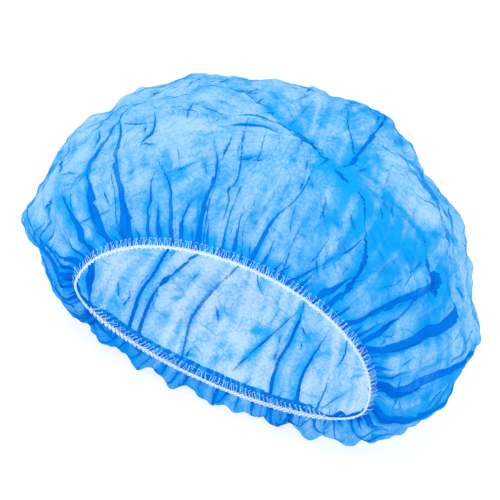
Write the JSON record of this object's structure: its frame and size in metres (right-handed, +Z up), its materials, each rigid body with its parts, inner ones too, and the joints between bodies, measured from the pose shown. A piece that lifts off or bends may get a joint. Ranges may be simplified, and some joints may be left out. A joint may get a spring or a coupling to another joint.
{
  "type": "disposable hairnet",
  "caption": "Puffed cap of thin blue nonwoven cloth gathered onto an elastic edge, lying open on its side.",
  "frame": {"origin": "on the table, under the middle of the cap's box", "axes": "+X to the right across the mouth, +Y from the mouth to the back of the crown, +Z up"},
  "size_m": [0.2778, 0.161, 0.1663],
  "materials": {
    "nonwoven": "thin translucent light blue nonwoven, soft and matte, deeper blue where layers overlap",
    "elastic": "thin pale elastic wrapped in white overlock thread, matte",
    "thread": "white overlock thread with a pale blue cast, slightly shiny"
  },
  "bodies": {
    "root": {"crown": "nonwoven", "elastic_band": "elastic"}
  },
  "joints": []
}
